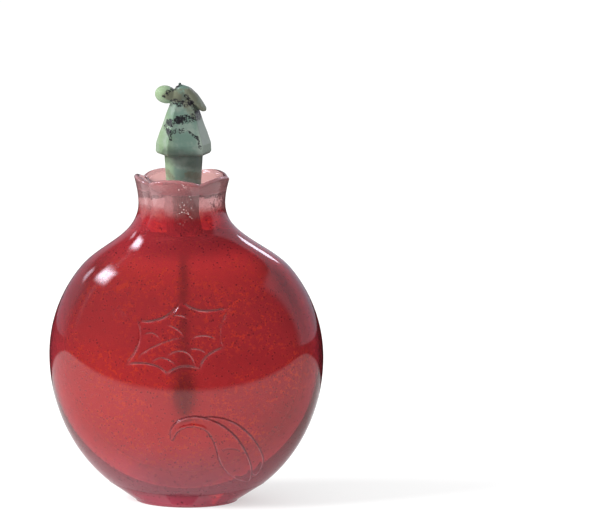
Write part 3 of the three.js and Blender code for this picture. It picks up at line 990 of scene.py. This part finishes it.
def haze_shader(finish, settings, clear):
    """The milky share of the glass: bubbles in the body, pale dust in the cuts and fine dark specks, with
    painted light low down, a painted highlight along the lip's edge and painted shade at the leaves' edges
    and in the leaf's cut.
    """
    # Painted light: more milky pink glow low down, with less of it at the sole
    low = finish.between(LOW_HAZE_TOP - finish.z + finish.noise(5, detail=3) * 4.0, *LOW_HAZE_FADE)
    low = low * (SOLE_SHARE + finish.between(finish.z, *SOLE_LEVELS) * (1 - SOLE_SHARE))
    foot = 1 - finish.between(finish.z, *FOOT_LEVELS)
    throat = finish.between(finish.z, *THROAT_LEVELS) * (1 - clear)
    top = finish.between(finish.z + finish.noise(2, detail=4) * 4.0, *TOP_LEVELS)
    dusty = 0.25 + finish.between(finish.noise(DUST_SIZE, detail=3), 0.35, 0.65) * 0.75
    # Pale dust in the carved lines, and a painted highlight along the lip's edge
    pale = (finish.attribute("pale") + finish.attribute("painted_rim_highlight") * RIM_HIGHLIGHT) * dusty
    # Painted shade at the leaves' edges and in the leaf's cut
    dark = finish.attribute("dark")
    specks = finish.cells(settings.speck_spacing / MM)
    chosen = finish.between(finish.noise(1.1, detail=3), 0.47, 0.52)
    speck = (1 - finish.between(specks, *SPECK_SHARE)) * chosen * (1 - clear)
    scattered = finish.between(finish.noise(0.9, detail=3), 0.44, 0.54)
    sparks = 1 - finish.between(finish.cells(SPARK_SPACING), *SPARK_SHARE)
    sparks = finish.stroke(*SPARKS) * sparks * scattered
    colour = finish.coat(
        settings.haze_colour,
        (low, settings.painted_low_glow_colour),
        (foot, settings.foot_colour),
        (throat, settings.throat_colour),
        (clear, finish.mix(top, settings.line_haze_colour, settings.clear_haze_colour)),
        (pale, settings.dust_and_highlight_colour),
        (finish.reckon("MAXIMUM", dark * 0.8, speck), SPECK_AND_SHADE_COLOUR),
        (sparks, SPARK_COLOUR),
    )
    share = settings.haze + clear * (settings.clear_haze - settings.haze) + low * settings.painted_low_glow
    share = share + foot * settings.foot_haze + throat * settings.throat_haze
    share = share + pale * 0.25 + dark * 0.6 + sparks * 0.4 + speck * settings.speck_strength
    share = share * (1 - finish.attribute("inside"))
    haze = finish.node("ShaderNodeBsdfPrincipled", {}, {"Base Color": colour, "Roughness": 0.1})
    mixed = finish.blend(share, Wire(finish, finish.shader.outputs[0]), haze)
    finish.plug(finish.output.inputs["Surface"], mixed)


def ruby_glass(settings):
    """Polished outside; the hollow, the bore and the foot's underside are ground dull."""
    finish = Finish("ruby_glass")
    polish = finish.between(finish.noise(9, detail=4), 0.3, 0.8) * POLISH_ROUGHNESS
    dull = finish.between(finish.noise(3, detail=5), 0.2, 0.8) * 0.1 + settings.ground_roughness
    line = settings.line_height / MM
    ragged = finish.noise(2.6, detail=5, roughness=0.6) * LINE_RAGGEDNESS
    clear = finish.between(finish.z + ragged, line, line + LINE_FADE)
    tint = glass_tint(finish, settings, clear)
    mouth = finish.mix(finish.between(finish.z, *MOUTH_LEVELS), (1, 1, 1), settings.mouth_colour)
    finish.set({
        "Base Color": finish.mix(finish.attribute("inside"), tint, mouth),
        "Roughness": polish + finish.attribute("ground") * (dull - polish),
        "Transmission Weight": 1.0,
        "IOR": 1.5,
    })
    waves = clear * finish.noise(LIP_WAVE_SIZE, detail=3) * (settings.lip_waves / MM)
    finish.bump(finish.noise(BODY_WAVE_SIZE, detail=1) * BODY_WAVE_HEIGHT + waves)
    haze_shader(finish, settings, clear)
    thick = {"Color": settings.thick_colour, "Density": settings.thick_density}
    volume = finish.node("ShaderNodeVolumeAbsorption", {}, thick)
    finish.plug(finish.output.inputs["Volume"], volume)
    return finish.material


def turquoise(settings):
    """Green stone, bluer in front, with painted light: lighter and yellower on the left, greyer on the far
    side and lightest on the bud and the shank's left. It has black veins and brown host rock, with painted
    shade under the bell, under the hanging leaf, between bud and leaf and above the lip.
    """
    finish = Finish("turquoise")
    x = finish.x - BORE_X
    # Painted light: the lit left colour gives way to the front colour, and the far side turns greyer
    front = finish.between(x + finish.noise(3) * 2.0, *FRONT_FADE)
    far_side = finish.between(x + finish.noise(2) * 1.0, *FAR_FADE)
    cloud = finish.between(finish.noise(STONE_CLOUD, detail=6, roughness=0.6), 0.42, 0.7)
    # Painted light on the bud and the left of the shank
    light = sum(finish.stroke(*mark) for mark in PAINTED_LIGHT_MARKS)
    pits = finish.noise(PIT_SIZE, detail=5, roughness=0.75)
    wobble = finish.noise(0.8, detail=3) * 1.2 - 0.6
    # Host rock, with painted shade between bud and leaf and on the shank above the lip
    host = sum(finish.stroke(*mark, wobble) for mark in HOST_ROCK_AND_SHADE_MARKS)
    # Veins, with a painted shade line under the hanging leaf
    veins = sum(finish.stroke(*mark, wobble) for mark in VEIN_AND_SHADE_MARKS)
    crumbs = finish.noise(CRUMB_SIZE, detail=3, roughness=0.8)
    colour = finish.coat(
        settings.lit_left_colour,
        (front, settings.front_colour),
        (finish.reckon("MAXIMUM", cloud * 0.6, far_side * 0.8), settings.cloud_and_far_side_colour),
        (light * 0.35, settings.painted_light_colour),
        (finish.between(host * pits, 0.2, 0.7) * 0.8, settings.host_rock_and_shade_colour),
        # Painted shadow that the bell casts on the shank
        (finish.stroke(*BELL_SHADOW, wobble) * 0.55, BELL_SHADOW_COLOUR),
        (finish.between(veins * (crumbs * 2.4 - 0.75), 0.33, 0.5), VEIN_AND_SHADE_COLOUR),
    )
    finish.set({"Base Color": colour, "Roughness": finish.noise(1.2, detail=4) * 0.25 + 0.28})
    finish.bump(pits * PIT_DEPTH)
    return finish.material


def cork_bark(settings):
    finish = Finish("cork")
    pores = finish.cells(PORE_SIZE)
    colour = finish.mix(finish.between(pores, 0.1, 0.6), PORE_COLOUR, settings.cork_colour)
    finish.set({"Base Color": colour, "Roughness": finish.noise(0.4) * 0.1 + 0.8})
    finish.bump(pores * PORE_DEPTH)
    return finish.material


def bone(settings):
    finish = Finish("bone")
    grain = finish.noise(GRAIN_SIZE, detail=4)
    colour = finish.mix(grain, GRAIN_COLOUR, settings.bone_colour)
    finish.set({"Base Color": colour, "Roughness": grain * 0.2 + 0.35})
    finish.bump(grain * GRAIN_DEPTH)
    return finish.material


# Stage

def put_on_stage(name, finish):
    """Names the primitive that was just added and dresses it."""
    piece = bpy.context.object
    piece.name = piece.data.name = name
    piece.data.materials.append(finish.material)
    return piece


def seen_only_in_gloss(piece):
    """A studio card that shows in reflections and nowhere else."""
    for kind in ("camera", "diffuse", "transmission", "volume_scatter", "shadow"):
        setattr(piece, f"visible_{kind}", False)


def add_floor(settings):
    deselect_all()
    bpy.ops.mesh.primitive_circle_add(vertices=96, radius=4.0, fill_type="NGON")
    finish = Finish("floor")
    glow = settings.floor_glow
    finish.set({
        "Base Color": tuple(part * (1 - glow) for part in settings.floor_colour),
        "Roughness": 0.9,
        "Specular IOR Level": 0.0,
        "Emission Color": (1, 1, 1),
        "Emission Strength": glow,
    })
    put_on_stage("floor", finish)


def add_dark_cloth(settings):
    """Dark cloth round an oval of white table about the bottle."""
    deselect_all()
    bpy.ops.mesh.primitive_plane_add(size=8, location=(0, 0, CLOTH_Z))
    bpy.ops.object.transform_apply()
    finish = Finish("dark_cloth")
    across = (finish.x - TABLE_X) * (MM / settings.table_half_width)
    along = finish.y * (MM / settings.table_front)
    out = finish.reckon("SQRT", across * across + along * along)
    cover = finish.between(out, *TABLE_EDGE) * (1 - settings.table_dimness) + settings.table_dimness
    finish.set({"Base Color": BLACK, "Specular IOR Level": 0.0, "Alpha": cover})
    seen_only_in_gloss(put_on_stage("dark_cloth", finish))


def add_studio_dome(settings):
    """What the polished glass mirrors: a dim room with boards and softboxes, seen in nothing else."""
    deselect_all()
    bpy.ops.mesh.primitive_ico_sphere_add(subdivisions=5, radius=3.5)
    finish = Finish("studio_dome")
    toward = finish.node("ShaderNodeVectorMath", {"operation": "NORMALIZE"}, {0: finish.place})
    glow = settings.gloss_strength
    for *window, strength in SOFTBOXES:
        glow = glow + finish.window(toward, *window) * strength
    parts = {axis: glow * part for axis, part in enumerate(GLOSS_COLOUR)}
    colour = finish.node("ShaderNodeCombineXYZ", {}, parts)
    finish.set({
        "Base Color": BLACK, "Specular IOR Level": 0.0, "Emission Color": colour, "Emission Strength": 1.0,
    })
    seen_only_in_gloss(put_on_stage("studio_dome", finish))


def add_softbox(settings):
    """The light on the left, which looks at the bottle and shows only in what it lights."""
    middle = Vector((0, 0, VIEW_HEIGHT))
    away = Vector(KEY_DIRECTION).normalized() * KEY_DISTANCE
    bpy.ops.object.light_add(type="AREA", location=middle + away)
    light = bpy.context.object
    light.name = light.data.name = "left_softbox"
    light.rotation_euler = away.to_track_quat("Z", "Y").to_euler()
    light.data.shape = "RECTANGLE"
    light.data.size = light.data.size_y = KEY_SIZE
    light.data.energy = settings.key_power
    for kind in ("camera", "glossy", "transmission"):
        setattr(light, f"visible_{kind}", False)


def set_world(settings):
    """White all round for what is seen directly and through the glass, and dark for its gloss."""
    world = bpy.data.worlds.new("studio")
    bpy.context.scene.world = world
    world.use_nodes = True
    nodes = Nodes(world.node_tree)
    seen, fill, gloss = (
        nodes.node("ShaderNodeBackground", {}, {"Color": (1, 1, 1), "Strength": strength})
        for strength in (settings.world_strength, settings.fill_strength, settings.gloss_strength)
    )
    for rays, light in (("Is Diffuse Ray", fill), ("Is Glossy Ray", gloss)):
        seen = nodes.blend(nodes.node("ShaderNodeLightPath", {}, {}, output=rays), seen, light)
    nodes.plug(world.node_tree.nodes["World Output"].inputs["Surface"], seen)


def add_camera():
    azimuth, elevation = math.radians(CAMERA_AZIMUTH), math.radians(CAMERA_ELEVATION)
    level = Vector((math.sin(azimuth), -math.cos(azimuth), 0))
    away = level * math.cos(elevation) + Vector((0, 0, math.sin(elevation)))
    right = Vector((math.cos(azimuth), math.sin(azimuth), 0))
    target = right * VIEW_RIGHT + Vector((0, 0, VIEW_HEIGHT))
    bpy.ops.object.camera_add(location=target + away * CAMERA_DISTANCE)
    camera = bpy.context.object
    camera.rotation_euler = away.to_track_quat("Z", "Y").to_euler()
    camera.data.lens = CAMERA_LENS
    camera.data.sensor_width = 36
    camera.data.clip_start = 0.01
    bpy.context.scene.camera = camera


# Settings that a user would change

def colour_setting(name, text, value):
    return bpy.props.FloatVectorProperty(
        name=name, description=text, subtype="COLOR", size=3, min=0, max=1, default=value
    )


def length_setting(name, text, value):
    return bpy.props.FloatProperty(
        name=name, description=text, subtype="DISTANCE", unit="LENGTH", min=0, default=value, precision=4
    )


def number_setting(name, text, value):
    return bpy.props.FloatProperty(name=name, description=text, min=0, default=value)


class GlassSettings(bpy.types.PropertyGroup):
    deep_colour: colour_setting("Deep colour", "Tint of the ruby body", (0.33, 0.012, 0.019))
    # Painted light: the brighter ruby low down and on the left, also used in the band under the neck
    painted_glow_colour: colour_setting("Low colour", "Tint low down and on the left", (0.60, 0.02, 0.022))
    flame_colour: colour_setting("Flame colour", "Orange red mottles in the body", (0.80, 0.06, 0.01))
    # Painted shade: darker purple where the glass is seen edge on
    edge_shade_colour: colour_setting("Rim colour", "Tint where the glass is seen edge on", (0.24, 0.03, 0.17))
    clear_colour: colour_setting("Clear colour", "Tint of the pale glass at the lip", (0.91, 0.52, 0.50))
    mouth_colour: colour_setting("Mouth colour", "Tint of the funnel inside the lip", (0.95, 0.55, 0.52))
    haze_colour: colour_setting("Haze colour", "Glow of the body", (0.36, 0.06, 0.065))
    # Painted light: the milky pink glow near the foot
    painted_low_glow_colour: colour_setting("Low haze colour", "Glow near the foot", (0.60, 0.14, 0.19))
    foot_colour: colour_setting("Foot colour", "Glow in the foot", (0.46, 0.07, 0.11))
    throat_colour: colour_setting("Throat colour", "Glow under the neck", (0.40, 0.03, 0.04))
    line_haze_colour: colour_setting("Line haze colour", "Glow where the glass clears", (0.42, 0.10, 0.09))
    clear_haze_colour: colour_setting("Clear haze colour", "Glow at the lip", (0.44, 0.24, 0.25))
    # Pale dust in the carved lines, also the painted highlight along the lip's edge
    dust_and_highlight_colour: colour_setting("Line colour", "Pale dust in the carved lines", (0.75, 0.38, 0.40))
    haze: number_setting("Haze", "Share of the body that glows", 0.16)
    # Painted light: the extra milky glow near the foot
    painted_low_glow: number_setting("Low haze", "Extra glow near the foot", 0.16)
    foot_haze: number_setting("Foot haze", "Extra glow in the foot", 0.3)
    throat_haze: number_setting("Throat haze", "Extra glow under the neck", 0.2)
    clear_haze: number_setting("Clear haze", "Share of the lip that glows", 0.32)
    flame_strength: number_setting("Flame strength", "How strong the orange mottles are", 0.85)
    lip_waves: length_setting("Lip waves", "Height of the waves in the neck", 0.08 * MM)
    line_height: length_setting("Line height", "Where the deep colour begins to clear", 52.4 * MM)
    thick_colour: colour_setting("Thick colour", "What thick glass lets through", (0.60, 0.20, 0.30))
    thick_density: number_setting("Thick density", "How fast thick glass darkens", 30.0)
    speck_spacing: length_setting("Speck spacing", "Distance between fine dark specks", 0.55 * MM)
    speck_strength: number_setting("Speck strength", "How dark the specks are", 0.55)
    ground_roughness: number_setting("Ground roughness", "How dull the hollow and the underside are", 0.36)


class StopperSettings(bpy.types.PropertyGroup):
    # Painted light: the lighter yellow green of the lit left side
    lit_left_colour: colour_setting("Left colour", "Yellow green of the left side", (0.15, 0.215, 0.12))
    front_colour: colour_setting("Front colour", "Blue green of the front", (0.09, 0.15, 0.12))
    # Grey of the clouds in the stone, also painted light on the far side
    cloud_and_far_side_colour: colour_setting("Grey colour", "Greyer clouds in the stone", (0.22, 0.255, 0.22))
    # Painted light: the lightest green, on the bud and the shank's left
    painted_light_colour: colour_setting("Light colour", "Lightest green, on bud and shank", (0.27, 0.36, 0.22))
    # Brown of the host rock, also the painted shade between bud and leaf and above the lip
    host_rock_and_shade_colour: colour_setting("Host colour", "Brown host rock near the top", (0.10, 0.095, 0.06))


class PlugSettings(bpy.types.PropertyGroup):
    cork_colour: colour_setting("Cork colour", "Light parts of the cork", (0.36, 0.28, 0.21))
    bone_colour: colour_setting("Bone colour", "Light parts of the spoon's bone", (0.62, 0.52, 0.38))


class StageSettings(bpy.types.PropertyGroup):
    floor_colour: colour_setting("Floor colour", "Pale floor", (0.93, 0.93, 0.93))
    floor_glow: number_setting("Floor glow", "Share of the floor's light that is its own", 0.5)
    table_front: length_setting("Table front", "Reach of the white table in front", 0.075)
    table_half_width: length_setting("Table half width", "Half width of the white table", 0.285)
    table_dimness: number_setting("Table dimness", "Share of the table that the gloss loses", 0.16)
    world_strength: number_setting("World strength", "Brightness of the white surroundings", 1.0)
    fill_strength: number_setting("Fill strength", "Light of the surroundings", 1.05)
    gloss_strength: number_setting("Gloss strength", "Brightness of the surroundings in gloss", 0.04)
    key_power: number_setting("Key power", "Power of the softbox on the left, in watts", 6.0)


def settings_of(name):
    return getattr(bpy.context.scene, "snuff_" + name)


def deliver(piece, node):
    """Fits a finished piece to the frame."""
    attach(piece, BODY)
    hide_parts(node)


class SNUFF_OT_vessel(bpy.types.Operator):
    """Make the glass vessel"""
    bl_idname = "snuff.vessel"
    bl_label = "Glass vessel"

    def execute(self, context):
        deliver(make_vessel(settings_of("glass")), "bottle")
        return {"FINISHED"}


class SNUFF_OT_stopper(bpy.types.Operator):
    """Make the carved turquoise stopper"""
    bl_idname = "snuff.stopper"
    bl_label = "Turquoise stopper"

    def execute(self, context):
        deliver(make_stopper(settings_of("stopper")), "stopper")
        return {"FINISHED"}


class SNUFF_OT_plug(bpy.types.Operator):
    """Make the cork and the spoon that hangs from it"""
    bl_idname = "snuff.plug"
    bl_label = "Cork and spoon"

    def execute(self, context):
        deliver(make_cork(settings_of("plug")), "cork")
        deliver(make_spoon(settings_of("plug")), "spoon")
        return {"FINISHED"}


class SNUFF_OT_stage(bpy.types.Operator):
    """Set the camera, the lights and the pale floor"""
    bl_idname = "snuff.stage"
    bl_label = "Stage"

    def execute(self, context):
        settings = settings_of("stage")
        context.scene.view_settings.view_transform = "Standard"
        add_camera()
        set_world(settings)
        add_floor(settings)
        add_dark_cloth(settings)
        add_studio_dome(settings)
        add_softbox(settings)
        return {"FINISHED"}


class SNUFF_PT_panel(bpy.types.Panel):
    bl_label = "Snuff bottle"
    bl_idname = "SNUFF_PT_panel"
    bl_space_type = "VIEW_3D"
    bl_region_type = "UI"
    bl_category = "Snuff Bottle"

    def draw(self, context):
        for name, (_, operator) in GROUPS.items():
            box = self.layout.box()
            box.operator(operator.bl_idname)
            settings = settings_of(name)
            for key in settings.__annotations__:
                box.prop(settings, key)


GROUPS = {
    "glass": (GlassSettings, SNUFF_OT_vessel),
    "stopper": (StopperSettings, SNUFF_OT_stopper),
    "plug": (PlugSettings, SNUFF_OT_plug),
    "stage": (StageSettings, SNUFF_OT_stage),
}
CLASSES = [each for pair in GROUPS.values() for each in pair] + [SNUFF_PT_panel]


def register():
    for each in CLASSES:
        bpy.utils.register_class(each)
    for name, (settings, _) in GROUPS.items():
        setattr(bpy.types.Scene, "snuff_" + name, bpy.props.PointerProperty(type=settings))


def unregister():
    for name in GROUPS:
        delattr(bpy.types.Scene, "snuff_" + name)
    for each in reversed(CLASSES):
        bpy.utils.unregister_class(each)


def main():
    register()
    bpy.ops.snuff.stage()
    bpy.ops.snuff.vessel()
    bpy.ops.snuff.stopper()
    bpy.ops.snuff.plug()


if __name__ == "__main__":
    main()
